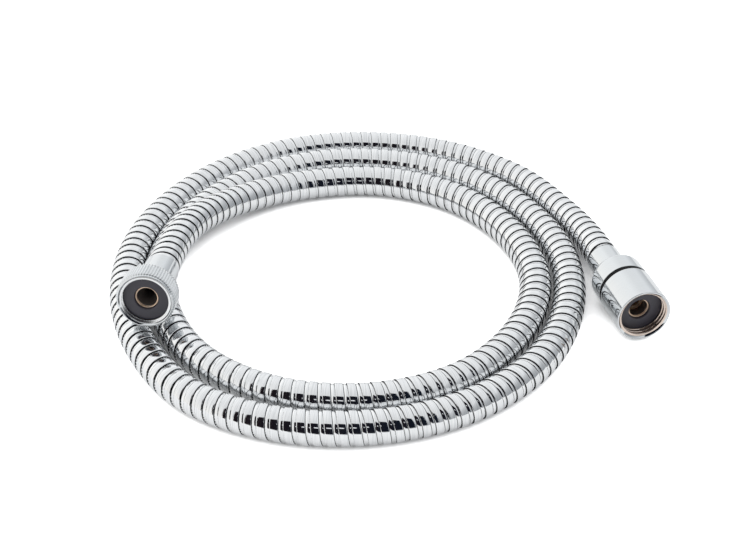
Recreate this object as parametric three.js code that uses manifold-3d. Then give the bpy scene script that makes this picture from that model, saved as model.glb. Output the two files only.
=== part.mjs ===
// Shower hose of 1.5 m: a strip-wound chrome casing with a rubber inner tube, lying in loose loops,
// with a knurled nut on one end and a smooth swivel nut on the other. Millimetres, +Z up.
import * as THREE from "three";
import { mergeVertices } from "three/addons/utils/BufferGeometryUtils.js";
import Module from "manifold-3d";

const wasm = await Module();
wasm.setup();

// Clearances
const fitGap = 0.3;
const turnGap = 0.4;

// Hose
const casingOuter = 14;
const casingWall = 1.1;
const tubeGap = 0.9;
const tubeWall = 1.2;
const hoseSides = 12;
const casingSteps = 76;
const tubeSteps = 78;
const lengthSamples = 2000;

// Parts that both ends share: a G1/2 thread, its flat washer and a barbed tail in the tube
const threadMajor = 20.955;
const washerGap = 0.8;
const flangeGap = 1.1;
const washerHole = 9.8;
const washerThickness = 2;
const waterBore = 7.9;
const tailWall = 0.9;
const tailLength = 16;
const barbHeight = 0.25;
const barbPitch = 4;
const barbCount = 3;
const neckWall = 1.4;
const clampWall = 0.8;
const clampLength = 12;
const clampSetback = 4;
const endLip = 1.2;
const turnedSides = 24;

// Knurled end
const knurledRimWall = 1.05;
const knurlStand = 0.2;
const knurlDepth = 0.4;
const knurlTeeth = 64;
const knurlMargin = 1.1;
const nutChamfer = 0.5;
const knurledWall = 3.1;
const knurledFlange = 2;
const knurledWasherDepth = 2.8;
const ferruleStand = 0.4;
const ferruleWall = 0.7;
const ferruleLength = 22;
const ferruleFloor = 1.2;

// Swivel end
const swivelRimWall = 1.2;
const swivelLip = 2.5;
const swivelSkirtWall = 1.3;
const swivelWasherDepth = 4.9;
const coreFlange = 2.2;
const coreOuter = 15.8;
const coreSeat = 2.6;
const coreRearLip = 0.8;
const collarOuter = 10.6;
const collarLength = 5.7;
const sealSection = 1.1;
const sealGrooveFloor = 7.9;
const sealSpacing = 2.5;
const sealSides = 8;
const snapThickness = 0.8;
const snapReach = 0.5;
const stemOuter = 9.2;
const stemShoulder = 13;
const stemShoulderLength = 1.5;
const slipRingInset = 0.1;
const slipRingFlange = 1.6;
const slipRingSpigot = 3.9;
const slipRingHub = 2.7;
const coverInset = 0.2;
const coverWall = 1.2;
const coverWeb = 1.3;
const coverNeckStand = 0.2;
const coverNeckLength = 12;
const coverShoulder = 4.5;
const shoulderEase = 0.35;
const shoulderSteps = 5;
const coverTubeRoom = 18.7;

// Route of the hose's centre line from the knurled end to the swivel end: x, y and the lift over
// a casing that lies flat. Seen from above it makes two and a half turns; the first stretch lies
// on the turn below it and comes down beside it.
const middleX = 4;
const middleY = 8.75;
const hoseRoute = [
  [-89.5, -15, 15.3],
  [-89.1, -10.1, 14.4],
  [-88, -0.1, 13.4],
  [-84.9, 15.3, 12.4],
  [-78.7, 33.4, 9.5],
  [-62.4, 57.1, 4.2],
  [-34.2, 75.6, 0.6],
  [4.2, 79.8, 0.1],
  [39.4, 64.7, 0],
  [62.5, 34.5, 0],
  [70.5, -2.5, 0],
  [60, -39, 0],
  [35, -67.5, 0],
  [-0.5, -80.5, 0],
  [-38.5, -76.5, 0],
  [-70, -56, 0],
  [-88.5, -23.5, 0],
  [-93.5, 14, 0],
  [-83.5, 50.5, 0],
  [-59.5, 80, 0],
  [-25, 96.5, 0],
  [13, 95.5, 0],
  [47.5, 79.5, 0],
  [72, 50.5, 0],
  [84.5, 14.5, 0],
  [82, -24, 0],
  [66, -58.5, 0],
  [37, -84, 0],
  [0.5, -96, 0],
  [-38, -94, 0],
  [-72.5, -77.5, 0],
  [-95.3, -46.6, 0],
  [-106.9, -10.2, 0],
  [-106.4, 27.6, 0],
  [-92.9, 63.5, 0],
  [-68.5, 92.5, 0],
  [-34.5, 110.5, 0],
  [3.5, 114, 0],
  [40, 104, 0],
  [70.5, 81.5, 0],
  [90.5, 48, 0.5],
  [97.8, 26.5, 2.3],
  [100.4, 14.5, 3.5],
  [101.5, 9.6, 3.8],
];
const knurledEndAim = { heading: -94.9, rise: 9.9 };
const swivelEndAim = { heading: -76.9, rise: 3 };

// Sizes that follow from the ones above
const bore = threadMajor / 2;
const washerRadius = bore - washerGap;
const flangeRadius = bore - flangeGap;
const rimRadius = bore + knurledRimWall;
const knurlRootRadius = rimRadius + knurlStand;
const knurlRadius = knurlRootRadius + knurlDepth;
const swivelRadius = bore + swivelRimWall;
const coverRadius = swivelRadius - coverInset;
const slipRingRadius = coverRadius - slipRingInset;
const coverNeckRadius = casingOuter / 2 + coverNeckStand;
const ferruleRadius = casingOuter / 2 + ferruleStand;
const tubeOuter = casingOuter - 2 * (casingWall + tubeGap);
const tubeBore = tubeOuter / 2 - tubeWall;
const tailOuter = tubeBore - fitGap - barbHeight;
const tailBore = tailOuter - tailWall;
const neckOuter = tailOuter + neckWall;
const casingBore = casingOuter / 2 - casingWall;

const chrome = { color: 0xe4e6e8, roughness: 0.08, metalness: 1 };
const brass = { color: 0xc79a56, roughness: 0.3, metalness: 1 };
const steel = { color: 0xb9bcc0, roughness: 0.35, metalness: 1 };
const rubber = { color: 0x24262b, roughness: 0.7, metalness: 0 };
const nylon = { color: 0x17181b, roughness: 0.45, metalness: 0 };

function named(name, geometry, finish) {
  const mesh = new THREE.Mesh(geometry, new THREE.MeshStandardMaterial(finish));
  mesh.name = name;
  return mesh;
}

// A ring-shaped piece turned about the local Y axis; its profile is [radius, height] pairs that run
// up the outside and back down the bore.
function turned(name, profile, finish, sides = turnedSides) {
  const points = [...profile, profile[0]].map(([radius, height]) => new THREE.Vector2(radius, height));
  return named(name, new THREE.LatheGeometry(points, sides), finish);
}

function solidFrom(geometry) {
  const bare = geometry.clone();
  bare.deleteAttribute("normal");
  bare.deleteAttribute("uv");
  const merged = mergeVertices(bare.index ? bare.toNonIndexed() : bare, 1e-4);
  return new wasm.Manifold(
    new wasm.Mesh({
      numProp: 3,
      vertProperties: merged.attributes.position.array,
      triVerts: new Uint32Array(merged.index.array),
    }),
  );
}

function geometryFrom(solid) {
  const mesh = solid.getMesh();
  const geometry = new THREE.BufferGeometry();
  geometry.setAttribute("position", new THREE.BufferAttribute(mesh.vertProperties, 3));
  geometry.setIndex(new THREE.BufferAttribute(mesh.triVerts, 1));
  geometry.computeVertexNormals();
  return geometry;
}

function directionOf({ heading, rise }) {
  const turn = THREE.MathUtils.degToRad(heading);
  const lift = THREE.MathUtils.degToRad(rise);
  return new THREE.Vector3(
    Math.cos(lift) * Math.cos(turn),
    Math.cos(lift) * Math.sin(turn),
    Math.sin(lift),
  );
}

// Part of a longer curve, between two lengths measured along it.
class Stretch extends THREE.Curve {
  constructor(whole, from, to) {
    super();
    this.whole = whole;
    this.from = from / whole.getLength();
    this.to = to / whole.getLength();
  }

  getPoint(t) {
    return this.whole.getPointAt(this.from + (this.to - this.from) * t);
  }
}

function ringSection(outerRadius, innerRadius) {
  const corner = (radius) => (_, k) => {
    const angle = ((k + 0.5) * 2 * Math.PI) / hoseSides;
    return new THREE.Vector2(radius * Math.cos(angle), radius * Math.sin(angle));
  };
  const section = new THREE.Shape(Array.from({ length: hoseSides }, corner(outerRadius)));
  const hole = new THREE.Path(Array.from({ length: hoseSides }, corner(innerRadius)).reverse());
  section.holes.push(hole);
  return section;
}

function hoseTube(name, outerRadius, innerRadius, path, steps, finish) {
  const section = ringSection(outerRadius, innerRadius);
  const geometry = new THREE.ExtrudeGeometry(section, { steps, extrudePath: path });
  return named(name, geometry, finish);
}

// The barbed tail that the inner tube is pushed over: outside profile from its tip up to the neck.
function tailProfile(neckHeight) {
  const tip = neckHeight - tailLength;
  const points = [[tailOuter - barbHeight, tip]];
  for (let k = 0; k < barbCount; k += 1) {
    const crest = tip + (k + 1) * barbPitch;
    points.push([tailOuter + barbHeight, crest], [tailOuter, crest]);
  }
  points.push([tailOuter, neckHeight]);
  return points;
}

function clampRing(name) {
  const inner = tubeOuter / 2 + fitGap;
  const outer = inner + clampWall;
  const low = clampSetback;
  const high = clampSetback + clampLength;
  const profile = [
    [outer, low],
    [outer, high],
    [inner, high],
    [inner, low],
  ];
  return turned(name, profile, steel);
}

function flatWasher(name, back) {
  const profile = [
    [washerRadius, back],
    [washerRadius, back + washerThickness],
    [washerHole / 2, back + washerThickness],
    [washerHole / 2, back],
  ];
  return turned(name, profile, rubber);
}

// Heights along the knurled end, from the hose's cut end outwards
const ferruleFront = fitGap + ferruleLength;
const knurledShoulder = ferruleFront;
const knurledBack = knurledShoulder - knurledWall;
const knurledFlangeBack = ferruleFront + fitGap;
const knurledFlangeFront = knurledFlangeBack + knurledFlange;
const knurledWasherBack = knurledFlangeFront + fitGap;
const knurledMouth = knurledWasherBack + washerThickness + knurledWasherDepth;
const knurledTubeEnd = ferruleFront - ferruleFloor - fitGap;

function ferrule() {
  const profile = [
    [ferruleRadius, fitGap],
    [ferruleRadius, ferruleFront],
    [neckOuter + fitGap, ferruleFront],
    [neckOuter + fitGap, ferruleFront - ferruleFloor],
    [ferruleRadius - ferruleWall, ferruleFront - ferruleFloor],
    [ferruleRadius - ferruleWall, fitGap + endLip],
    [casingBore, fitGap + endLip],
    [casingBore, fitGap],
  ];
  return turned("ferrule_a", profile, chrome);
}

function knurledInsert() {
  const neckBack = knurledTubeEnd + fitGap;
  const profile = [
    ...tailProfile(neckBack),
    [neckOuter, neckBack],
    [neckOuter, knurledFlangeBack],
    [flangeRadius, knurledFlangeBack],
    [flangeRadius, knurledFlangeFront],
    [waterBore / 2, knurledFlangeFront],
    [waterBore / 2, knurledFlangeBack + knurledFlange / 2],
    [tailBore, knurledFlangeBack],
    [tailBore, neckBack - tailLength],
  ];
  return turned("insert_a", profile, brass);
}

function knurlBand(low, high) {
  const corners = [];
  for (let k = 0; k < 2 * knurlTeeth; k += 1) {
    const angle = (k * Math.PI) / knurlTeeth;
    const radius = k % 2 ? knurlRootRadius : knurlRadius;
    corners.push(new THREE.Vector2(radius * Math.cos(angle), radius * Math.sin(angle)));
  }
  const section = new THREE.Shape(corners);
  section.holes.push(new THREE.Path().absarc(0, 0, (bore + knurlRootRadius) / 2, 0, 2 * Math.PI, true));
  const band = new THREE.ExtrudeGeometry(section, {
    depth: high - low,
    bevelEnabled: false,
    curveSegments: turnedSides / 2,
  });
  band.rotateX(-Math.PI / 2);
  band.translate(0, low, 0);
  return band;
}

function knurledNut() {
  const ferruleHole = ferruleRadius + turnGap;
  const profile = [
    [rimRadius - nutChamfer, knurledBack],
    [rimRadius, knurledBack + nutChamfer],
    [rimRadius, knurledMouth - nutChamfer],
    [rimRadius - nutChamfer, knurledMouth],
    [bore, knurledMouth],
    [bore, knurledShoulder],
    [ferruleHole, knurledShoulder],
    [ferruleHole, knurledBack],
  ];
  const body = solidFrom(turned("body", profile, chrome).geometry);
  const band = solidFrom(knurlBand(knurledBack + nutChamfer, knurledMouth - knurlMargin));
  return named("knurled_nut", geometryFrom(body.add(band)), chrome);
}

// Heights along the swivel end, from the hose's cut end outwards
const coverNeckFront = fitGap + coverNeckLength;
const coverWebBack = fitGap + coverTubeRoom;
const coverWebFront = coverWebBack + coverWeb;
const stemShoulderBack = coverWebFront + fitGap;
const stemShoulderFront = stemShoulderBack + stemShoulderLength;
const slipRingHubBack = stemShoulderFront + fitGap;
const slipRingBack = slipRingHubBack + slipRingHub;
const slipRingFront = slipRingBack + slipRingFlange;
const coverFront = slipRingBack - fitGap;
const swivelBack = slipRingFront + fitGap;
const coreBack = slipRingFront + fitGap;
const snapGrooveBack = coreBack + coreRearLip;
const snapBack = snapGrooveBack + fitGap;
const snapFront = snapBack + snapThickness;
const collarBack = snapFront + fitGap;
const collarFront = collarBack + collarLength;
const coreSeatFace = collarFront + fitGap;
const coreFlangeFront = coreSeatFace + coreSeat + coreFlange / 2;
const coreFlangeBack = coreFlangeFront - coreFlange;
const swivelShoulder = coreFlangeBack - fitGap;
const swivelWasherBack = coreFlangeFront + fitGap;
const swivelMouth = swivelWasherBack + washerThickness + swivelWasherDepth;
const coreSocket = collarOuter / 2 + fitGap;
const stemHole = stemOuter / 2 + fitGap;

// The cover's outside runs from the neck through a round shoulder to its barrel.
function coverShoulderProfile() {
  const easeRadius = THREE.MathUtils.lerp(coverNeckRadius, coverRadius, shoulderEase);
  const easeHeight = coverNeckFront + coverShoulder * shoulderEase;
  const swell = new THREE.CubicBezierCurve(
    new THREE.Vector2(coverNeckRadius, coverNeckFront),
    new THREE.Vector2(easeRadius, easeHeight),
    new THREE.Vector2(coverRadius, easeHeight),
    new THREE.Vector2(coverRadius, coverNeckFront + coverShoulder),
  );
  return swell.getPoints(shoulderSteps).map((point) => [point.x, point.y]);
}

function cover() {
  const room = tubeOuter / 2 + fitGap + clampWall + fitGap;
  const profile = [
    [coverNeckRadius, fitGap],
    ...coverShoulderProfile(),
    [coverRadius, coverFront],
    [coverRadius - coverWall, coverFront],
    [coverRadius - coverWall, coverWebFront],
    [stemHole, coverWebFront],
    [stemHole, coverWebBack],
    [room, coverWebBack],
    [room, fitGap + endLip],
    [casingBore, fitGap + endLip],
    [casingBore, fitGap],
  ];
  return turned("cover_b", profile, chrome);
}

function sealGroove(centre) {
  const half = sealSection / 2 + fitGap;
  const floor = sealGrooveFloor / 2;
  const rim = collarOuter / 2;
  return [
    [rim, centre - half],
    [floor, centre - half],
    [floor, centre + half],
    [rim, centre + half],
  ];
}

const sealHeights = [-0.5, 0.5].map((side) => (collarBack + collarFront) / 2 + side * sealSpacing);

function stem() {
  const profile = [
    ...tailProfile(coverWebBack),
    [stemOuter / 2, coverWebBack],
    [stemOuter / 2, stemShoulderBack],
    [stemShoulder / 2, stemShoulderBack],
    [stemShoulder / 2, stemShoulderFront],
    [stemOuter / 2, stemShoulderFront],
    [stemOuter / 2, collarBack],
    [collarOuter / 2, collarBack],
    ...sealHeights.flatMap(sealGroove),
    [collarOuter / 2, collarFront],
    [tailBore, collarFront],
    [tailBore, coverWebBack - tailLength],
  ];
  return turned("swivel_stem", profile, brass);
}

function sealRing(name, height) {
  const ring = new THREE.TorusGeometry(
    sealGrooveFloor / 2 + fitGap + sealSection / 2,
    sealSection / 2,
    sealSides,
    turnedSides,
  );
  ring.rotateX(Math.PI / 2);
  ring.translate(0, height, 0);
  return named(name, ring, rubber);
}

function snapRing() {
  const profile = [
    [coreSocket + snapReach, snapBack],
    [coreSocket + snapReach, snapFront],
    [stemHole, snapFront],
    [stemHole, snapBack],
  ];
  return turned("snap_ring", profile, steel);
}

function swivelCore() {
  const groove = coreSocket + snapReach + fitGap;
  const profile = [
    [coreOuter / 2, coreBack],
    [coreOuter / 2, coreFlangeBack],
    [flangeRadius, coreFlangeBack],
    [flangeRadius, coreFlangeFront],
    [waterBore / 2, coreFlangeFront],
    [waterBore / 2, coreSeatFace],
    [coreSocket, coreSeatFace],
    [coreSocket, collarBack],
    [groove, collarBack],
    [groove, snapGrooveBack],
    [coreSocket, snapGrooveBack],
    [coreSocket, coreBack],
  ];
  return turned("swivel_core", profile, brass);
}

function slipRing() {
  const skirtBore = swivelRadius - swivelSkirtWall;
  const spigotFront = slipRingFront + slipRingSpigot;
  const profile = [
    [coverRadius - coverWall - fitGap, slipRingHubBack],
    [coverRadius - coverWall - fitGap, slipRingBack],
    [slipRingRadius, slipRingBack],
    [slipRingRadius, slipRingFront],
    [skirtBore - turnGap, slipRingFront],
    [skirtBore - turnGap, spigotFront],
    [coreOuter / 2 + turnGap, spigotFront],
    [coreOuter / 2 + turnGap, slipRingFront],
    [stemHole, slipRingFront],
    [stemHole, slipRingHubBack],
  ];
  return turned("slip_ring", profile, nylon);
}

function swivelNut() {
  const skirtBore = swivelRadius - swivelSkirtWall;
  const lipBack = swivelShoulder - swivelLip;
  const coreHole = coreOuter / 2 + turnGap;
  const profile = [
    [swivelRadius - nutChamfer, swivelBack],
    [swivelRadius, swivelBack + nutChamfer],
    [swivelRadius, swivelMouth - nutChamfer],
    [swivelRadius - nutChamfer, swivelMouth],
    [bore, swivelMouth],
    [bore, swivelShoulder],
    [coreHole, swivelShoulder],
    [coreHole, lipBack],
    [skirtBore, lipBack],
    [skirtBore, swivelBack],
  ];
  return turned("swivel_nut", profile, chrome);
}

// A fitting stands on the hose's cut end with its local Y axis along the way out.
function fittingAt(routeEnd, aim, pieces) {
  const fitting = new THREE.Group();
  fitting.position.copy(routeEnd);
  fitting.quaternion.setFromUnitVectors(new THREE.Vector3(0, 1, 0), directionOf(aim));
  fitting.add(...pieces);
  return fitting;
}

function buildHose() {
  const part = new THREE.Group();
  const route = hoseRoute.map(([x, y, lift]) => new THREE.Vector3(x, y, casingOuter / 2 + lift));
  const startAim = directionOf(knurledEndAim);
  const endAim = directionOf(swivelEndAim);
  const start = route[0];
  const end = route[route.length - 1];
  const tubeStart = start.clone().addScaledVector(startAim, knurledTubeEnd);
  const tubeEnd = end.clone().addScaledVector(endAim, coverWebBack - fitGap);
  const centreLine = new THREE.CatmullRomCurve3([tubeStart, ...route, tubeEnd]);
  centreLine.arcLengthDivisions = lengthSamples;
  const length = centreLine.getLength();
  const casingPath = new Stretch(centreLine, tubeStart.distanceTo(start), length - tubeEnd.distanceTo(end));
  casingPath.arcLengthDivisions = lengthSamples;

  part.add(hoseTube("hose_casing", casingOuter / 2, casingBore, casingPath, casingSteps, chrome));
  part.add(hoseTube("inner_tube", tubeOuter / 2, tubeBore, centreLine, tubeSteps, rubber));
  part.add(
    fittingAt(start, knurledEndAim, [
      ferrule(),
      knurledInsert(),
      clampRing("clamp_ring_a"),
      flatWasher("washer_a", knurledWasherBack),
      knurledNut(),
    ]),
    fittingAt(end, swivelEndAim, [
      cover(),
      stem(),
      clampRing("clamp_ring_b"),
      slipRing(),
      snapRing(),
      ...sealHeights.map((height, k) => sealRing(`seal_ring_${k + 1}`, height)),
      swivelCore(),
      flatWasher("washer_b", swivelWasherBack),
      swivelNut(),
    ]),
  );
  part.position.set(-middleX, -middleY, 0);
  return part;
}

export default buildHose();
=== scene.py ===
# Chrome shower hose lying in loose loops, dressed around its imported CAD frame.
import math
import bpy
import numpy as np
from mathutils import Matrix, Vector


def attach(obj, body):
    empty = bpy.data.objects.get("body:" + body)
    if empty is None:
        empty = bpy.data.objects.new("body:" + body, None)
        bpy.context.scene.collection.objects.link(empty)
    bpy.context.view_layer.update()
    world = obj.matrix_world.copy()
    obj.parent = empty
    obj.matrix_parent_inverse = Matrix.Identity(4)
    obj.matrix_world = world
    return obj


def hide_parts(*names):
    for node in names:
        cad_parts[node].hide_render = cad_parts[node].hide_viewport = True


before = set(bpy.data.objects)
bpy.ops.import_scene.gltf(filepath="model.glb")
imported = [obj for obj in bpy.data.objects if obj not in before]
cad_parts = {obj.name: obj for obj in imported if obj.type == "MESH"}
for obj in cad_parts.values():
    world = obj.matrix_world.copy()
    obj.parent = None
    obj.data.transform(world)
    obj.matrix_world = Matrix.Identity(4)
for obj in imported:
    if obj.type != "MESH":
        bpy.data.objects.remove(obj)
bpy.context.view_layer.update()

mm = 0.001
hair = 1e-6  # mm; lengths closer than this count as equal


# helpers

def linear(hexColour):
    # sRGB hex to linear RGBA
    channels = [int(hexColour[k:k + 2], 16) / 255 for k in (1, 3, 5)]
    return [c / 12.92 if c <= 0.04045 else ((c + 0.055) / 1.055) ** 2.4 for c in channels] + [1.0]


def addNode(tree, kind, settings=None, links=None):
    # one node: plain attributes and socket values in settings, incoming sockets in links;
    # a colour Mix node has its share at socket 0, its colours at 6 and 7, and its result at output 2
    node = tree.nodes.new(kind)
    for key, value in (settings or {}).items():
        if isinstance(key, str) and hasattr(node, key):
            setattr(node, key, value)
        else:
            node.inputs[key].default_value = value
    for key, source in (links or {}).items():
        tree.links.new(source, node.inputs[key])
    return node


def newMaterial(name):
    material = bpy.data.materials.new(name)
    material.use_nodes = True
    tree = material.node_tree
    tree.nodes.clear()
    return material, tree


def finishMaterial(tree, shader):
    output = addNode(tree, "ShaderNodeOutputMaterial")
    tree.links.new(shader.outputs[0], output.inputs["Surface"])


def addPiece(name, verts, faces, materials, body, faceSlots, flatSlot=None):
    # smooth mesh that rides on a body; the faces of flatSlot's material stay flat
    mesh = bpy.data.meshes.new(name)
    mesh.from_pydata([tuple(v) for v in verts], [], faces)
    for material in materials:
        mesh.materials.append(material)
    mesh.shade_smooth()
    mesh.polygons.foreach_set("material_index", faceSlots)
    if flatSlot is not None:
        mesh.polygons.foreach_set("use_smooth", [slot != flatSlot for slot in faceSlots])
    mesh.update()
    piece = bpy.data.objects.new(name, mesh)
    bpy.context.scene.collection.objects.link(piece)
    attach(piece, body)
    return piece


def addUv(piece, name, coords):
    # coords holds one pair for each vertex
    layer = piece.data.uv_layers.new(name=name)
    vertex = np.empty(len(piece.data.loops), dtype=np.int32)
    piece.data.loops.foreach_get("vertex_index", vertex)
    layer.data.foreach_set("uv", coords[vertex].reshape(-1).astype(np.float32))


# camera

cameraSettings = {
    "location": (-4.0, -482.45, 351.2),  # mm
    "pitchDown": 36.0,  # degrees
    "focalPixels": 1338.0, "imageWidth": 747.0,
    "sensorWidth": 36.0,  # mm
    "clip": (0.01, 50.0),  # metres
}


def makeCamera(settings):
    data = bpy.data.cameras.new("camera")
    data.sensor_fit = "HORIZONTAL"
    data.sensor_width = settings["sensorWidth"]
    data.lens = settings["sensorWidth"] * settings["focalPixels"] / settings["imageWidth"]
    data.clip_start, data.clip_end = settings["clip"]
    camera = bpy.data.objects.new("camera", data)
    camera.location = Vector(settings["location"]) * mm
    camera.rotation_euler = (math.radians(90 - settings["pitchDown"]), 0, 0)
    bpy.context.scene.collection.objects.link(camera)
    bpy.context.scene.camera = camera


makeCamera(cameraSettings)
print("camera set")


# the hose's route, as in the CAD source, in millimetres: x, y and the lift over a casing lying flat

routeMiddle = Vector((4, 8.75, -7))
hoseRoute = [
    (-89.5, -15, 15.3), (-89.1, -10.1, 14.4), (-88, -0.1, 13.4), (-84.9, 15.3, 12.4), (-78.7, 33.4, 9.5),
    (-62.4, 57.1, 4.2), (-34.2, 75.6, 0.6), (4.2, 79.8, 0.1), (39.4, 64.7, 0), (62.5, 34.5, 0),
    (70.5, -2.5, 0), (60, -39, 0), (35, -67.5, 0), (-0.5, -80.5, 0), (-38.5, -76.5, 0),
    (-70, -56, 0), (-88.5, -23.5, 0), (-93.5, 14, 0), (-83.5, 50.5, 0), (-59.5, 80, 0),
    (-25, 96.5, 0), (13, 95.5, 0), (47.5, 79.5, 0), (72, 50.5, 0), (84.5, 14.5, 0),
    (82, -24, 0), (66, -58.5, 0), (37, -84, 0), (0.5, -96, 0), (-38, -94, 0),
    (-72.5, -77.5, 0), (-95.3, -46.6, 0), (-106.9, -10.2, 0), (-106.4, 27.6, 0), (-92.9, 63.5, 0),
    (-68.5, 92.5, 0), (-34.5, 110.5, 0), (3.5, 114, 0), (40, 104, 0), (70.5, 81.5, 0),
    (90.5, 48, 0.5), (97.8, 26.5, 2.3), (100.4, 14.5, 3.5), (101.5, 9.6, 3.8),
]
endAims = {"knurled": (-94.9, 9.9), "swivel": (-76.9, 3.0)}  # heading and rise in degrees
tubeReach = {"knurled": 20.8, "swivel": 18.7}  # the inner tube runs on into each fitting
routeSampling = {
    "perSpan": 60,  # curve points between two route points
    "step": 1.0,  # mm between samples
    "tangentWindow": 5, "bendWindow": 13,  # samples that are averaged, odd
}


def directionOf(aim):
    heading, rise = (math.radians(angle) for angle in aim)
    flat = math.cos(rise)
    return Vector((flat * math.cos(heading), flat * math.sin(heading), math.sin(rise)))


def centripetalCurve(points, perSpan):
    # same Catmull-Rom curve that the CAD source uses
    pts = [np.array(p, float) for p in points]
    curve = []
    for i in range(len(pts) - 1):
        p1, p2 = pts[i], pts[i + 1]
        p0 = pts[i - 1] if i > 0 else 2 * p1 - p2
        p3 = pts[i + 2] if i < len(pts) - 2 else 2 * p2 - p1
        spans = ((p0, p1), (p1, p2), (p2, p3))
        d0, d1, d2 = (max(float(np.dot(b - a, b - a)) ** 0.25, 1e-4) for a, b in spans)
        t1 = ((p1 - p0) / d0 - (p2 - p0) / (d0 + d1) + (p2 - p1) / d1) * d1
        t2 = ((p2 - p1) / d1 - (p3 - p1) / (d1 + d2) + (p3 - p2) / d2) * d1
        for k in range(perSpan):
            t = k / perSpan
            curve.append((2 * t**3 - 3 * t**2 + 1) * p1 + (t**3 - 2 * t**2 + t) * t1
                         + (3 * t**2 - 2 * t**3) * p2 + (t**3 - t**2) * t2)
    curve.append(pts[-1])
    return np.array(curve)


def averaged(vectors, window):
    # running mean over a window of samples, the first and last ones repeated past the ends
    margin = window // 2
    padded = np.pad(vectors, ((margin, margin), (0, 0)), mode="edge")
    return np.stack([np.convolve(padded[:, k], np.ones(window) / window, "valid") for k in range(3)], 1)


endPoints = {"knurled": Vector(hoseRoute[0]) - routeMiddle, "swivel": Vector(hoseRoute[-1]) - routeMiddle}
shiftedRoute = [tuple(Vector(p) - routeMiddle) for p in hoseRoute]
tubeEnds = {end: tuple(endPoints[end] + directionOf(endAims[end]) * tubeReach[end]) for end in endPoints}
routeWithTails = [tubeEnds["knurled"], *shiftedRoute, tubeEnds["swivel"]]


class CentreLine:
    # evenly sampled centre line with frames that don't twist, measured from the casing's first end

    def __init__(self, points, startOffset, sampling):
        step = sampling["step"]
        dense = centripetalCurve(points, sampling["perSpan"])
        along = np.r_[0, np.cumsum(np.linalg.norm(np.diff(dense, axis=0), axis=1))]
        self.samples = np.arange(0, along[-1], step)
        self.place = np.stack([np.interp(self.samples, along, dense[:, k]) for k in range(3)], 1)
        tangent = averaged(np.gradient(self.place, step, axis=0), sampling["tangentWindow"])
        self.tangent = tangent / np.linalg.norm(tangent, axis=1)[:, None]
        self.bend = averaged(np.gradient(self.tangent, step, axis=0), sampling["bendWindow"])
        side = np.empty_like(self.tangent)
        side[0] = np.cross(self.tangent[0], (0, 0, 1))
        side[0] /= np.linalg.norm(side[0])
        for k in range(1, len(side)):
            moved = side[k - 1] - self.tangent[k] * np.dot(side[k - 1], self.tangent[k])
            side[k] = moved / np.linalg.norm(moved)
        self.side = side
        self.up = np.cross(side, self.tangent)
        self.samples = self.samples - startOffset

    def at(self, lengths):
        # place, side, up and bend vectors at the given lengths along the casing
        return [np.stack([np.interp(lengths, self.samples, values[..., k]) for k in range(3)], -1)
                for values in (self.place, self.side, self.up, self.bend)]


centreLine = CentreLine(routeWithTails, tubeReach["knurled"], routeSampling)
casingLength = centreLine.samples[-1] - tubeReach["swivel"]
print("centre line of", round(float(casingLength), 1), "mm")


# materials

def chromePlate(name, bright, tinted, roughness, streak, streakScale, waviness):
    # chrome plate over polished metal: mirror bright, cool, with polishing streaks that shift its tint
    # a little and swells of 2.4 mm that make the reflections waver; a film in 9 mm patches dulls it
    material, tree = newMaterial(name)
    coords = addNode(tree, "ShaderNodeTexCoord")
    stretched = addNode(tree, "ShaderNodeMapping", {"Scale": streakScale}, {"Vector": coords.outputs["UV"]})
    lines = addNode(tree, "ShaderNodeTexNoise", {"Scale": 1.0, "Detail": 3.0, "Roughness": 0.65},
                    {"Vector": stretched.outputs[0]})
    waves = addNode(tree, "ShaderNodeTexNoise", {"Scale": 1 / (2.4 * mm), "Detail": 1.5},
                    {"Vector": coords.outputs["Object"]})
    film = addNode(tree, "ShaderNodeTexNoise", {"Scale": 1 / (9 * mm), "Detail": 4.0},
                   {"Vector": coords.outputs["Object"]})
    share = addNode(tree, "ShaderNodeMapRange", {"From Min": 0.4, "From Max": 0.62},
                    {"Value": lines.outputs["Fac"]})
    tone = addNode(tree, "ShaderNodeMix", {"data_type": "RGBA", 6: linear(bright), 7: linear(tinted)},
                   {0: share.outputs[0]})
    dull = addNode(tree, "ShaderNodeMapRange",
                   {"From Min": 0.35, "From Max": 0.75, "To Min": roughness, "To Max": roughness + 0.05},
                   {"Value": film.outputs["Fac"]})
    fine = addNode(tree, "ShaderNodeBump", {"Strength": streak, "Distance": 0.02 * mm},
                   {"Height": lines.outputs["Fac"]})
    broad = addNode(tree, "ShaderNodeBump", {"Strength": waviness, "Distance": 0.12 * mm},
                    {"Height": waves.outputs["Fac"], "Normal": fine.outputs[0]})
    shader = addNode(tree, "ShaderNodeBsdfPrincipled", {"Metallic": 1.0},
                     {"Base Color": tone.outputs[2], "Roughness": dull.outputs[0],
                      "Normal": broad.outputs[0]})
    finishMaterial(tree, shader)
    return material


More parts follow.
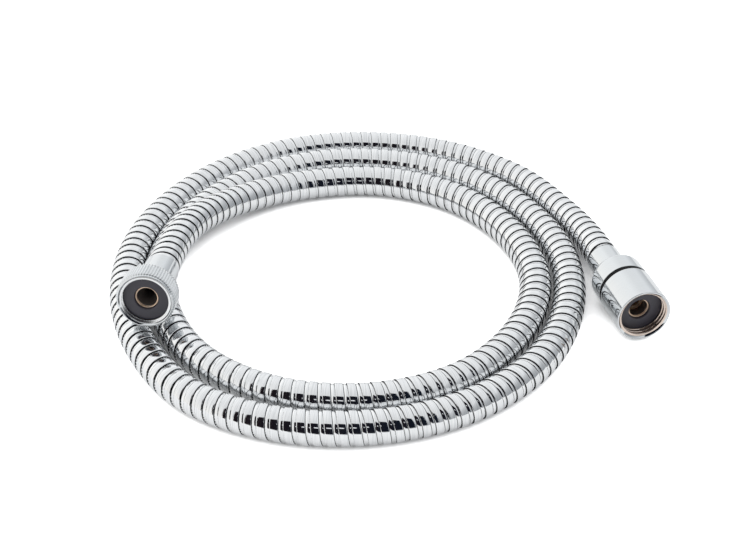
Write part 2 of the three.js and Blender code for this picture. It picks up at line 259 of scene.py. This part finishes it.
def turnedBrass(name, bright, stained, roughness):
    # bare turned brass: tool rings 0.18 mm apart, browner and duller in 3 mm patches where water stood
    material, tree = newMaterial(name)
    coords = addNode(tree, "ShaderNodeTexCoord")
    rings = addNode(tree, "ShaderNodeMapping", {"Scale": (0.5, 1 / 0.18, 1.0)},
                    {"Vector": coords.outputs["UV"]})
    lines = addNode(tree, "ShaderNodeTexNoise", {"Scale": 1.0, "Detail": 2.0}, {"Vector": rings.outputs[0]})
    stain = addNode(tree, "ShaderNodeTexNoise", {"Scale": 1 / (3 * mm), "Detail": 5.0},
                    {"Vector": coords.outputs["Object"]})
    tone = addNode(tree, "ShaderNodeMix", {"data_type": "RGBA", 6: linear(bright), 7: linear(stained)},
                   {0: stain.outputs["Fac"]})
    dull = addNode(tree, "ShaderNodeMapRange", {"To Min": roughness, "To Max": roughness + 0.18},
                   {"Value": stain.outputs["Fac"]})
    cut = addNode(tree, "ShaderNodeBump", {"Strength": 0.35, "Distance": 0.03 * mm},
                  {"Height": lines.outputs["Fac"]})
    shader = addNode(tree, "ShaderNodeBsdfPrincipled", {"Metallic": 1.0},
                     {"Base Color": tone.outputs[2], "Roughness": dull.outputs[0],
                      "Normal": cut.outputs[0]})
    finishMaterial(tree, shader)
    return material


def drawnSteel():
    # stainless steel, drawn: grey and satin, its gloss uneven in 0.8 mm patches
    material, tree = newMaterial("stainless steel drawn")
    coords = addNode(tree, "ShaderNodeTexCoord")
    drawn = addNode(tree, "ShaderNodeTexNoise", {"Scale": 1 / (0.8 * mm), "Detail": 4.0},
                    {"Vector": coords.outputs["Object"]})
    dull = addNode(tree, "ShaderNodeMapRange", {"To Min": 0.22, "To Max": 0.4},
                   {"Value": drawn.outputs["Fac"]})
    shader = addNode(tree, "ShaderNodeBsdfPrincipled", {"Base Color": linear("#c8c9ca"), "Metallic": 1.0},
                     {"Roughness": dull.outputs[0]})
    finishMaterial(tree, shader)
    return material


def mattDark(name, colour, paler, roughness, grain, specular):
    # moulded rubber or nylon, or the painted shade of a bore: soft sheen, fine grain, a bloom in 4 mm patches
    material, tree = newMaterial(name)
    coords = addNode(tree, "ShaderNodeTexCoord")
    bloom = addNode(tree, "ShaderNodeTexNoise", {"Scale": 1 / (4 * mm), "Detail": 5.0},
                    {"Vector": coords.outputs["Object"]})
    pores = addNode(tree, "ShaderNodeTexNoise", {"Scale": 1 / (grain * mm), "Detail": 2.0},
                    {"Vector": coords.outputs["Object"]})
    tone = addNode(tree, "ShaderNodeMix", {"data_type": "RGBA", 6: linear(colour), 7: linear(paler)},
                   {0: bloom.outputs["Fac"]})
    dull = addNode(tree, "ShaderNodeMapRange", {"To Min": roughness - 0.08, "To Max": roughness + 0.1},
                   {"Value": bloom.outputs["Fac"]})
    skin = addNode(tree, "ShaderNodeBump", {"Strength": 0.25, "Distance": 0.03 * mm},
                   {"Height": pores.outputs["Fac"]})
    shader = addNode(tree, "ShaderNodeBsdfPrincipled", {"IOR": 1.52, "Specular IOR Level": specular},
                     {"Base Color": tone.outputs[2], "Roughness": dull.outputs[0],
                      "Normal": skin.outputs[0]})
    finishMaterial(tree, shader)
    return material


def shadowGap():
    # the strip's cut edge and the slit between two turns: painted shade, near black with a faint mottle, for
    # the shadow down in them
    material, tree = newMaterial("strip gap painted shade")
    coords = addNode(tree, "ShaderNodeTexCoord")
    shadeMottle = addNode(tree, "ShaderNodeTexNoise", {"Scale": 1 / (1.5 * mm), "Detail": 3.0},
                    {"Vector": coords.outputs["Object"]})
    tone = addNode(tree, "ShaderNodeMix", {"data_type": "RGBA", 6: linear("#08090b"), 7: linear("#1b1c20")},
                   {0: shadeMottle.outputs["Fac"]})
    shader = addNode(tree, "ShaderNodeBsdfPrincipled", {"Roughness": 0.6, "Specular IOR Level": 0.2},
                     {"Base Color": tone.outputs[2]})
    finishMaterial(tree, shader)
    return material


# rolling lines 0.28 mm apart and 18 mm long round the casing; UV runs in pitches and turns there
chromeStrip = chromePlate("chrome rolled strip", "#f6f7f8", "#e2e4e6", roughness=0.03,
                          streak=0.5, streakScale=(18.0, 2.5, 1.0), waviness=0.05)
# polishing lines 0.25 mm apart, an eighth of a turn long, hardly to be seen
chromeTurned = chromePlate("chrome on turned brass", "#dfe2e4", "#dcdfe1", roughness=0.035,
                           streak=0.06, streakScale=(0.4, 4.0, 1.0), waviness=0.04)
# the plate is thin and dull down in the thread, so its reflections blur
chromeThread = chromePlate("chrome thread thinly plated", "#f2f3f4", "#e6e8ea", roughness=0.22,
                           streak=0.06, streakScale=(0.4, 4.0, 1.0), waviness=0.04)
# insert, core and stem: pale, so that the lit lip of a bore glows as a thin warm ring
brassTurned = turnedBrass("brass turned", "#fbe6d2", "#ecc8a6", roughness=0.3)
# brass shows warm through the plate of the smooth nut's thread
brassThread = turnedBrass("brass thread thinly plated", "#efe2d8", "#d6c2b4", roughness=0.06)
# painted shade: the bore walls are coloured dark so that the bores read as dark holes
brassBorePaintedShade = mattDark("brass bore painted shade", "#35312f", "#453f3c", roughness=0.6,
                     grain=0.3, specular=0.2)
steelDrawn = drawnSteel()
# washers and seals: bluish black with a soft sheen
rubberBlack = mattDark("rubber moulded black", "#2e2d35", "#3e3c47", roughness=0.42,
                       grain=0.25, specular=0.6)
# slip ring: nearly no sheen, so that it stays a black line between two mirrors
nylonBlack = mattDark("nylon moulded black", "#060607", "#0c0c0e", roughness=0.5,
                      grain=0.4, specular=0.12)
gapPaintedShade = shadowGap()
print("materials made")


# casing: one long helical strip with a raised band, a low band and the slit between two turns

casingStrip = {
    "pitch": 5.0,
    "columns": 30,  # vertices around a turn
    "overlap": 0.4,  # how far each end stands in its fitting
    # distance along one pitch and radius: round edge, raised band, cut edge, low band, slit
    "section": [(0.0, 6.68), (0.04, 6.84), (0.16, 6.95), (0.42, 7.02), (2.9, 7.02), (3.1, 7.0), (3.3, 6.95),
                (3.36, 6.47), (3.44, 6.49), (4.86, 6.77), (4.92, 6.56)],
    "paintedShadeFaces": (0, 6, 9, 10),  # painted shade, counted along the section: foot of the round edge, cut edge, slit
    "slitFrom": 9,  # points from here on bound the slit and are placed from the next turn
    "slitGive": 2.5,  # how much faster than the strip the slit opens on the outside of a bend
    "slitLimits": (0.3, 2.0),  # its narrowest and widest, as a share of its width when straight
}


def makeCasing(settings, length):
    pitch, columns = settings["pitch"], settings["columns"]
    section = np.array(settings["section"])
    perPitch = len(section)
    offset, radius = section[:, 0], section[:, 1]
    low, high = -settings["overlap"], length + settings["overlap"]
    # a turn too many at each end; what lies past the ends is left out below
    turns = int(math.ceil((length + 2 * settings["overlap"]) / pitch)) + 2
    step = np.arange(turns * columns)
    base = (step / columns - 1) * pitch
    turned = np.repeat((step * 2 * np.pi / columns)[:, None], perPitch, 1)
    radii = np.repeat(radius[None, :], len(step), 0)

    def outwardFrom(side, up):
        return side * np.cos(turned)[..., None] - up * np.sin(turned)[..., None]

    _, side, up, bend = centreLine.at(np.clip(base[:, None] + offset, low, high))
    stretch = 1 - (bend * outwardFrom(side, up)).sum(-1) * radii
    # the raised band keeps its width; the low band and the slit take up the bend
    opening = np.clip(1 + settings["slitGive"] * (stretch - 1), *settings["slitLimits"])
    atSlit = np.arange(perPitch) >= settings["slitFrom"]
    local = np.where(atSlit, pitch - (pitch - offset) * opening / stretch, offset / stretch)
    along = np.clip(base[:, None] + local, low, high)
    place, side, up, _ = centreLine.at(along)
    verts = (place + outwardFrom(side, up) * radii[..., None]).reshape(-1, 3) * mm
    along, around = along.reshape(-1), turned.reshape(-1)

    first = np.arange(len(step) - columns - 1) * perPitch
    faces, slots = [], []
    for k in range(perPitch):
        onward = 1 if k < perPitch - 1 else columns * perPitch - k  # the last face meets the next turn
        a = first + k
        b = a + perPitch
        quads = np.stack([a, b, b + onward, a + onward], 1)
        reach = along[quads]
        quads = quads[reach.max(1) - reach.min(1) > hair]  # no face squeezed flat at a cut end
        faces.append(quads)
        # faces in painted shade take the near-black gap material
        slots.append(np.full(len(quads), 1 if k in settings["paintedShadeFaces"] else 0))
    faces = np.concatenate(faces)
    used, packed = np.unique(faces, return_inverse=True)
    faces = packed.reshape(faces.shape)
    piece = addPiece("hoseCasing", verts[used], faces.tolist(), [chromeStrip, gapPaintedShade], "hose",
                     np.concatenate(slots).tolist(), flatSlot=1)
    # UV: along the hose in pitches, around it in turns
    addUv(piece, "strip", np.stack([along[used] / pitch, around[used] / (2 * np.pi)], 1))
    return piece


hoseCasing = makeCasing(casingStrip, casingLength)
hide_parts("hose_casing")
print("casing with", len(hoseCasing.data.polygons), "faces")


# fittings: turned about the axis of each end, heights measured outwards from the hose's cut end

lathe = {
    "sides": 96,
    "cornerSteps": 3,  # faces in an eased corner
    "cornerShare": 0.45,  # an eased corner takes no more than this of either neighbouring run
    "uvPerTurn": 20,  # UV units around a piece; the other way UV runs in millimetres
}


def endFrame(end):
    # local Y of a fitting is the way out of the hose, as in the CAD source
    turn = Vector((0, 1, 0)).rotation_difference(directionOf(endAims[end])).to_matrix().to_4x4()
    return Matrix.Translation(endPoints[end] * mm) @ turn @ Matrix.Scale(mm, 4)


def rounded(profile):
    # profile of (radius, height, rounding, material slot) to plain points, corners eased by short arcs;
    # the slot is that of the run that starts at the point and can be left out for the first material
    points, slots = [], []
    count = len(profile)
    for k, (radius, height, ease, *slot) in enumerate(profile):
        here = np.array((radius, height), float)
        slot = slot[0] if slot else 0
        if not ease:
            points.append(here)
            slots.append(slot)
            continue
        before = np.array(profile[k - 1][:2], float) - here
        after = np.array(profile[(k + 1) % count][:2], float) - here
        backward, forward = np.linalg.norm(before), np.linalg.norm(after)
        reach = min(ease, backward * lathe["cornerShare"], forward * lathe["cornerShare"])
        start = here + before / backward * reach
        end = here + after / forward * reach
        for i in range(lathe["cornerSteps"] + 1):
            t = i / lathe["cornerSteps"]
            points.append((1 - t) ** 2 * start + 2 * t * (1 - t) * here + t * t * end)
            slots.append(slot)
    return np.array(points), slots


def makeTurned(name, end, profile, materials, body, sides=lathe["sides"], radiusAt=None):
    points, slots = rounded(profile)
    count = len(points)
    angles = (np.arange(sides) * 2 * np.pi / sides)[:, None]
    radii = np.repeat(points[None, :, 0], sides, 0)
    heights = np.repeat(points[None, :, 1], sides, 0)
    if radiusAt is not None:
        radii = radiusAt(radii, heights, angles)
    local = np.stack([radii * np.sin(angles), heights, radii * np.cos(angles)], -1).reshape(-1, 3)
    place = np.array(endFrame(end))
    verts = local @ place[:3, :3].T + place[:3, 3]
    faces = []
    for i in range(sides):
        j = (i + 1) % sides
        for k in range(count):
            m = (k + 1) % count
            faces.append((i * count + k, j * count + k, j * count + m, i * count + m))
    piece = addPiece(name, verts, faces, materials, body, slots * sides)
    run = np.r_[0, np.cumsum(np.linalg.norm(np.diff(points, axis=0), axis=1))]
    vertex = np.arange(sides * count)
    addUv(piece, "turned", np.stack([vertex // count / sides * lathe["uvPerTurn"], run[vertex % count]], 1))
    normals = piece.modifiers.new("weighted normals", "WEIGHTED_NORMAL")
    normals.keep_sharp = True
    return piece


# G1/2 thread in the nuts: radii at its roots and at the tops of its teeth; a run of rings carries it
# down to the washer
threadForm = {
    "outer": 10.4775, "inner": 9.45, "pitch": 1.814, "rings": 48,
    "lead": 0.55, "runout": 0.2,  # plain stretches at the mouth and at the washer
    "crest": 1.62, "flank": 4.2,  # how broad a tooth is, and how fast its flanks fall
    "fade": 0.3,  # it rises to full depth over this height
}

# both ends in millimetres: radii, heights over the hose's cut end, and a few widths and counts
knurledEnd = {
    "ferrule": {"outer": 7.4, "back": 0.3, "front": 22.3, "bore": 5.9, "lipFront": 1.5, "socket": 6.7,
                "collar": 4.95, "collarBack": 21.1},
    "nut": {"knurl": 12.13, "root": 11.73, "teeth": 64, "sidesPerTooth": 6, "rim": 11.53, "back": 19.2,
            "mouth": 29.7, "hole": 7.8, "shoulder": 22.3, "chamfer": 0.3, "backChamfer": 0.6, "leadIn": 0.5,
            "bandBack": 19.9, "bandFront": 28.4, "bandRuns": 6, "bandSlopes": (0.25, 0.15),
            "toothSwell": 1.5, "toothSink": 0.1},  # flat crests and narrow flat roots
    "washer": {"outer": 9.68, "hole": 4.9, "back": 24.9, "front": 26.9},
    "insert": {"flange": 9.38, "bore": 3.95, "lip": 4.8, "lipBore": 4.2, "back": 22.6, "front": 24.6,
               "seat": 25.0, "lipFront": 25.9, "hub": 4.65, "tailBore": 2.35, "boreTaper": 1.0,
               # barbed tail, from its tip
               "tail": [(3.0, 5.1), (3.5, 9.1), (3.25, 9.1), (3.5, 13.1), (3.25, 13.1), (3.5, 17.1),
                        (3.25, 17.1), (3.25, 21.1)]},
}

swivelEnd = {
    "cover": {"neck": 7.2, "barrel": 11.48, "back": 0.3, "neckFront": 12.3, "front": 24.8,
              "shoulder": 4.5, "fullness": 0.35, "shoulderPoints": 13,  # the swell from neck to barrel
              "wall": 1.2, "web": (19.0, 20.3), "webHole": 4.9, "socket": 6.4, "lipFront": 1.5, "bore": 5.9},
    "slipRing": {"outer": 11.38, "back": 25.1, "front": 26.7, "body": 10.0, "bodyBack": 22.4,
                 "sleeveFront": 30.6, "sleeveBore": 8.3, "hole": 4.9},
    "nut": {"outer": 11.68, "back": 27.0, "mouth": 46.1, "shoulder": 36.4, "shoulderDepth": 2.5,
            "skirt": 10.4, "hole": 8.3, "leadIn": 0.55, "sides": 128},
    "washer": {"outer": 9.68, "hole": 4.65, "back": 39.2, "front": 41.2},
    "core": {"flange": 9.38, "bore": 3.75, "lip": 4.5, "lipBore": 4.0, "back": 36.7, "front": 38.9,
             "seat": 39.3, "lipFront": 40.1, "sleeve": 7.9, "sleeveBack": 27.0, "socket": 5.6,
             "socketFront": 35.2, "groove": 6.4, "grooveSpan": (27.8, 29.2)},
}


def threadSpan(mouth, washerFront):
    return mouth - threadForm["lead"], washerFront + threadForm["runout"]


def threadWall(mouth, washerFront):
    top, deep = threadSpan(mouth, washerFront)
    rings = threadForm["rings"]
    return [(threadForm["outer"], top + (deep - top) * k / rings, 0, 1) for k in range(rings + 1)]


def threadRadius(mouth, washerFront):
    top, deep = threadSpan(mouth, washerFront)
    outer, depth = threadForm["outer"], threadForm["outer"] - threadForm["inner"]

    def wind(radii, heights, angles):
        onWall = (heights <= top + hair) & (heights >= deep - hair) & (abs(radii - outer) < hair)
        phase = (heights / threadForm["pitch"] - angles / (2 * np.pi)) % 1
        tooth = np.clip(threadForm["crest"] - threadForm["flank"] * np.abs(phase - 0.5), 0, 1)
        fade = (np.clip((top - heights) / threadForm["fade"], 0, 1)
                * np.clip((heights - deep) / threadForm["fade"], 0, 1))
        return np.where(onWall, radii - depth * tooth * fade, radii)

    return wind


def makeWasher(name, end, washer, body, node):
    profile = [(washer["outer"], washer["back"], 0.2), (washer["outer"], washer["front"], 0.25),
               (washer["hole"], washer["front"], 0.35), (washer["hole"], washer["back"], 0.2)]
    seal = makeTurned(name, end, profile, [rubberBlack], body)
    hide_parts(node)
    return seal


def makeKnurledEnd(settings):
    ferrule, nut, washer, insert = (settings[k] for k in ("ferrule", "nut", "washer", "insert"))
    profile = [(ferrule["outer"], ferrule["back"], 0.25), (ferrule["outer"], ferrule["front"], 0.2),
               (ferrule["collar"], ferrule["front"], 0), (ferrule["collar"], ferrule["collarBack"], 0),
               (ferrule["socket"], ferrule["collarBack"], 0), (ferrule["socket"], ferrule["lipFront"], 0),
               (ferrule["bore"], ferrule["lipFront"], 0), (ferrule["bore"], ferrule["back"], 0)]
    sleeve = makeTurned("ferruleA", "knurled", profile, [chromeTurned], "hose")
    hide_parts("ferrule_a")

    thread = threadRadius(nut["mouth"], washer["front"])
    bandBack, bandFront, runs = nut["bandBack"], nut["bandFront"], nut["bandRuns"]
    slopeBack, slopeFront = nut["bandSlopes"]
    profile = [(nut["hole"], nut["back"], 0.15), (nut["rim"] - nut["backChamfer"], nut["back"], 0.15),
               (nut["rim"], bandBack - slopeBack, 0)]
    profile += [(nut["root"], bandBack + (bandFront - bandBack) * k / runs, 0) for k in range(runs + 1)]
    profile += [(nut["rim"], bandFront + slopeFront, 0.05), (nut["rim"], nut["mouth"] - nut["chamfer"], 0.15),
                (nut["rim"] - nut["chamfer"], nut["mouth"], 0.1),
                (threadForm["outer"] + nut["leadIn"], nut["mouth"], 0.1)]
    profile += threadWall(nut["mouth"], washer["front"])
    profile += [(threadForm["outer"], nut["shoulder"], 0, 1), (nut["hole"], nut["shoulder"], 0)]

    def knurl(radii, heights, angles):
        onBand = abs(radii - nut["root"]) < hair
        wave = 0.5 - 0.5 * np.cos(angles * nut["teeth"])
        tooth = np.clip(wave * nut["toothSwell"] - nut["toothSink"], 0, 1)
        radii = np.where(onBand, nut["root"] + (nut["knurl"] - nut["root"]) * tooth, radii)
        return thread(radii, heights, angles)

    union = makeTurned("knurledNut", "knurled", profile, [chromeTurned, chromeThread], "knurled_nut",
                       sides=nut["teeth"] * nut["sidesPerTooth"], radiusAt=knurl)
    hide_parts("knurled_nut")

    makeWasher("washerA", "knurled", washer, "knurled_nut", "washer_a")

    tail = insert["tail"]
    profile = [(radius, height, 0) for radius, height in tail]
    profile += [(insert["hub"], tail[-1][1], 0), (insert["hub"], insert["back"], 0),
                (insert["flange"], insert["back"], 0.15), (insert["flange"], insert["front"], 0.15),
                (insert["lip"], insert["front"], 0), (insert["lip"], insert["lipFront"], 0.22),
                (insert["lipBore"], insert["lipFront"], 0.22), (insert["lipBore"], insert["seat"], 0, 1),
                (insert["bore"], insert["seat"], 0, 1),
                (insert["bore"], insert["front"] - insert["boreTaper"], 0, 1),
                (insert["tailBore"], insert["back"], 0, 1), (insert["tailBore"], tail[0][1], 0)]
    # the bore's runs, slot 1, take the bore's painted shade
    fitting = makeTurned("insertA", "knurled", profile, [brassTurned, brassBorePaintedShade], "hose")
    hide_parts("insert_a")


def shoulderCurve(shell):
    # cubic swell from the neck to the barrel
    neck, barrel, rise, fullness = (shell[k] for k in ("neck", "barrel", "shoulder", "fullness"))
    ease = np.array((neck + (barrel - neck) * fullness, shell["neckFront"] + rise * fullness))
    p0, p1, p2, p3 = (np.array((neck, shell["neckFront"])), ease, np.array((barrel, ease[1])),
                      np.array((barrel, shell["neckFront"] + rise)))
    curve = []
    for t in np.linspace(0, 1, shell["shoulderPoints"]):
        s = 1 - t
        radius, height = s ** 3 * p0 + 3 * t * s ** 2 * p1 + 3 * t * t * s * p2 + t**3 * p3
        curve.append((radius, height, 0))
    return curve


def makeSwivelEnd(settings):
    shell, ring, nut, washer, hub = (settings[k] for k in ("cover", "slipRing", "nut", "washer", "core"))
    inside = shell["barrel"] - shell["wall"]
    webBack, webFront = shell["web"]
    profile = [(shell["neck"], shell["back"], 0.25), *shoulderCurve(shell),
               (shell["barrel"], shell["front"], 0.2), (inside, shell["front"], 0), (inside, webFront, 0),
               (shell["webHole"], webFront, 0), (shell["webHole"], webBack, 0),
               (shell["socket"], webBack, 0), (shell["socket"], shell["lipFront"], 0),
               (shell["bore"], shell["lipFront"], 0), (shell["bore"], shell["back"], 0)]
    cover = makeTurned("coverB", "swivel", profile, [chromeTurned], "hose")
    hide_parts("cover_b")

    profile = [(ring["body"], ring["bodyBack"], 0), (ring["body"], ring["back"], 0),
               (ring["outer"], ring["back"], 0.15), (ring["outer"], ring["front"], 0.15),
               (ring["body"], ring["front"], 0), (ring["body"], ring["sleeveFront"], 0.1),
               (ring["sleeveBore"], ring["sleeveFront"], 0.1), (ring["sleeveBore"], ring["front"], 0),
               (ring["hole"], ring["front"], 0), (ring["hole"], ring["bodyBack"], 0)]
    slip = makeTurned("slipRingB", "swivel", profile, [nylonBlack], "hose")
    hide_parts("slip_ring")

    shoulderBack = nut["shoulder"] - nut["shoulderDepth"]
    profile = [(nut["skirt"], nut["back"], 0), (nut["outer"], nut["back"], 0.3),
               (nut["outer"], nut["mouth"], 0.3), (threadForm["outer"] + nut["leadIn"], nut["mouth"], 0.1),
               *threadWall(nut["mouth"], washer["front"]), (threadForm["outer"], nut["shoulder"], 0, 1),
               (nut["hole"], nut["shoulder"], 0), (nut["hole"], shoulderBack, 0),
               (nut["skirt"], shoulderBack, 0)]
    union = makeTurned("swivelNut", "swivel", profile, [chromeTurned, brassThread], "swivel_nut",
                       sides=nut["sides"], radiusAt=threadRadius(nut["mouth"], washer["front"]))
    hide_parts("swivel_nut")

    seal = makeWasher("washerB", "swivel", washer, "swivel_nut", "washer_b")

    grooveBack, grooveFront = hub["grooveSpan"]
    profile = [(hub["sleeve"], hub["sleeveBack"], 0.1), (hub["sleeve"], hub["back"], 0),
               (hub["flange"], hub["back"], 0.15), (hub["flange"], hub["front"], 0.15),
               (hub["lip"], hub["front"], 0), (hub["lip"], hub["lipFront"], 0.15),
               (hub["lipBore"], hub["lipFront"], 0.15), (hub["lipBore"], hub["seat"], 0, 1),
               (hub["bore"], hub["seat"], 0, 1), (hub["bore"], hub["socketFront"], 0),
               (hub["socket"], hub["socketFront"], 0), (hub["socket"], grooveFront, 0),
               (hub["groove"], grooveFront, 0), (hub["groove"], grooveBack, 0),
               (hub["socket"], grooveBack, 0), (hub["socket"], hub["sleeveBack"], 0.1)]
    # the bore's runs, slot 1, take the bore's painted shade
    core = makeTurned("swivelCore", "swivel", profile, [brassTurned, brassBorePaintedShade], "swivel_core")
    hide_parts("swivel_core")
    return [cover, slip, union, seal, core]


makeKnurledEnd(knurledEnd)
farPieces = makeSwivelEnd(swivelEnd)
print("fittings turned")


# the pieces inside keep their CAD shape

innerFinish = {"clamp_ring_a": steelDrawn, "clamp_ring_b": steelDrawn, "snap_ring": steelDrawn,
               "seal_ring_1": rubberBlack, "seal_ring_2": rubberBlack, "inner_tube": rubberBlack,
               "swivel_stem": brassTurned}
for nodeName, material in innerFinish.items():
    node = bpy.data.objects[nodeName]
    for slot in node.material_slots:
        slot.material = material
print("inner pieces finished")


# floor, room, dark card and lamp, in metres

studio = {
    "floorHalf": 6.0, "floorDrop": 0.0001, "floorColour": "#f2f2f2",
    "floorGlow": 0.93, "floorGlowMirrored": 0.1,
    # painted shade: ambient occlusion within the reach, where the floor's glow is gone and where it is full
    "paintedShadeReach": 14 * mm, "paintedShadeFade": (0.18, 0.42), "paintedShadeSamples": 12,
    # glow of the room from left to right at table height, evening out overhead
    "roomAcross": [(-1.0, 0.92), (-0.14, 0.88), (0.0, 0.78), (0.22, 0.78), (0.38, 0.6), (0.56, 0.48),
                   (1.0, 0.36)],
    "evenOverhead": 0.95,
    "roomDepth": (0.95, 1.16), "depthSpan": (-0.3, 0.8),  # its share in front and at the back
    "roomStrength": 1.16,
    "warmWhite": "#fffdf9", "coolGrey": "#e6ebf1",
    "lampPower": 4.0, "lampSize": 1.2, "lampPlace": (-0.5, 0.1, 1.4),
}

# black card that stands before the camera, and the pale gap in it for the lens; bottom and top edges
# are given as y and z, and only mirror reflections see the two
darkCard = {"left": -0.35, "right": 0.3, "bottom": (-0.45, 0.035), "top": (-0.33, 0.62),
            "leftTone": "#1c1518", "rightTone": "#101823"}
lensGap = {"left": -0.07, "right": 0.05, "bottom": (-0.395, 0.25), "top": (-0.385, 0.295),
           "leftTone": "#f4f6f8", "rightTone": "#f4f6f8"}


def makeFloor(settings):
    half = settings["floorHalf"]
    mesh = bpy.data.meshes.new("floor")
    mesh.from_pydata([(-half, -half, 0), (half, -half, 0), (half, half, 0), (-half, half, 0)], [],
                     [(0, 1, 2, 3)])
    # pale card, seen white by the camera, a little glow in mirrors, and shadows from the lamp and room
    material, tree = newMaterial("floor pale card")
    diffuse = addNode(tree, "ShaderNodeBsdfDiffuse", {"Color": linear(settings["floorColour"])})
    path = addNode(tree, "ShaderNodeLightPath")
    direct = addNode(tree, "ShaderNodeMath", {"operation": "MULTIPLY", 1: settings["floorGlow"]},
                     {0: path.outputs["Is Camera Ray"]})
    # painted shade: the floor's glow fades where ambient occlusion is strong, so narrow gaps between the
    # strands stay dark
    clear = addNode(tree, "ShaderNodeAmbientOcclusion",
                    {"samples": settings["paintedShadeSamples"], "Distance": settings["paintedShadeReach"]})
    narrow, wide = settings["paintedShadeFade"]
    paintedGapShade = addNode(tree, "ShaderNodeMapRange", {"From Min": narrow, "From Max": wide},
                     {"Value": clear.outputs["AO"]})
    lit = addNode(tree, "ShaderNodeMath", {"operation": "MULTIPLY"},
                  {0: direct.outputs[0], 1: paintedGapShade.outputs[0]})
    strength = addNode(tree, "ShaderNodeMath",
                       {"operation": "MULTIPLY_ADD", 1: settings["floorGlowMirrored"]},
                       {0: path.outputs["Is Glossy Ray"], 2: lit.outputs[0]})
    glow = addNode(tree, "ShaderNodeEmission", {"Color": linear("#ffffff")},
                   {"Strength": strength.outputs[0]})
    both = addNode(tree, "ShaderNodeAddShader", links={0: diffuse.outputs[0], 1: glow.outputs[0]})
    finishMaterial(tree, both)
    mesh.materials.append(material)
    floor = bpy.data.objects.new("floor", mesh)
    floor.location.z = -settings["floorDrop"]
    bpy.context.scene.collection.objects.link(floor)


def makeWorld(settings):
    world = bpy.data.worlds.new("studio")
    bpy.context.scene.world = world
    world.use_nodes = True
    tree = world.node_tree
    tree.nodes.clear()
    coords = addNode(tree, "ShaderNodeTexCoord")
    parts = addNode(tree, "ShaderNodeSeparateXYZ", links={0: coords.outputs["Generated"]})
    low = addNode(tree, "ShaderNodeMapRange", {"To Min": 1.0, "To Max": 1.0 - settings["evenOverhead"]},
                  {"Value": parts.outputs["Z"]})
    aside = addNode(tree, "ShaderNodeMath", {"operation": "MULTIPLY"},
                    {0: parts.outputs["X"], 1: low.outputs[0]})
    share = addNode(tree, "ShaderNodeMapRange", {"From Min": -1.0, "From Max": 1.0},
                    {"Value": aside.outputs[0]})
    across = addNode(tree, "ShaderNodeValToRGB", links={0: share.outputs[0]})
    stops = across.color_ramp.elements
    while len(stops) < len(settings["roomAcross"]):
        stops.new(0.5)
    for stop, (side, glow) in zip(stops, settings["roomAcross"]):
        stop.position = (side + 1) / 2
        stop.color = (glow, glow, glow, 1)
    (front, back), (frontGlow, backGlow) = settings["depthSpan"], settings["roomDepth"]
    depth = addNode(tree, "ShaderNodeMapRange",
                    {"From Min": front, "From Max": back, "To Min": frontGlow * settings["roomStrength"],
                     "To Max": backGlow * settings["roomStrength"]}, {"Value": parts.outputs["Y"]})
    level = addNode(tree, "ShaderNodeMath", {"operation": "MULTIPLY"},
                    {0: across.outputs[0], 1: depth.outputs[0]})
    tint = addNode(tree, "ShaderNodeMix", {"data_type": "RGBA", 6: linear(settings["warmWhite"]),
                                           7: linear(settings["coolGrey"])}, {0: share.outputs[0]})
    room = addNode(tree, "ShaderNodeBackground",
                   links={"Color": tint.outputs[2], "Strength": level.outputs[0]})
    plain = addNode(tree, "ShaderNodeBackground", {"Color": linear("#ffffff"), "Strength": 1.0})
    path = addNode(tree, "ShaderNodeLightPath")
    mix = addNode(tree, "ShaderNodeMixShader",
                  links={0: path.outputs["Is Camera Ray"], 1: room.outputs[0], 2: plain.outputs[0]})
    output = addNode(tree, "ShaderNodeOutputWorld")
    tree.links.new(mix.outputs[0], output.inputs["Surface"])


def makeCard(name, settings):
    # a card that only mirror reflections see, its tone running from one side to the other
    (nearY, nearZ), (farY, farZ) = settings["bottom"], settings["top"]
    left, right = settings["left"], settings["right"]
    corners = [(left, nearY, nearZ), (right, nearY, nearZ), (right, farY, farZ), (left, farY, farZ)]
    mesh = bpy.data.meshes.new(name)
    mesh.from_pydata(corners, [], [(0, 1, 2, 3)])
    material, tree = newMaterial(name)
    coords = addNode(tree, "ShaderNodeTexCoord")
    parts = addNode(tree, "ShaderNodeSeparateXYZ", links={0: coords.outputs["Generated"]})
    tone = addNode(tree, "ShaderNodeMix", {"data_type": "RGBA", 6: linear(settings["leftTone"]),
                                           7: linear(settings["rightTone"])}, {0: parts.outputs["X"]})
    shader = addNode(tree, "ShaderNodeEmission", {"Strength": 1.0}, {"Color": tone.outputs[2]})
    finishMaterial(tree, shader)
    mesh.materials.append(material)
    card = bpy.data.objects.new(name, mesh)
    card.visible_camera = card.visible_diffuse = card.visible_shadow = card.visible_transmission = False
    bpy.context.scene.collection.objects.link(card)


def makeLamp(settings):
    data = bpy.data.lights.new("overhead", "AREA")
    data.energy = settings["lampPower"]
    data.size = settings["lampSize"]
    lamp = bpy.data.objects.new("overhead", data)
    lamp.location = settings["lampPlace"]
    lamp.rotation_euler = (Vector((0, 0, 0)) - lamp.location).to_track_quat("-Z", "Y").to_euler()
    lamp.visible_glossy = False
    bpy.context.scene.collection.objects.link(lamp)


makeFloor(studio)
makeWorld(studio)
makeCard("black card", darkCard)
makeCard("gap at the lens", lensGap)
makeLamp(studio)
bpy.context.scene.view_settings.view_transform = "Standard"
print("studio set")
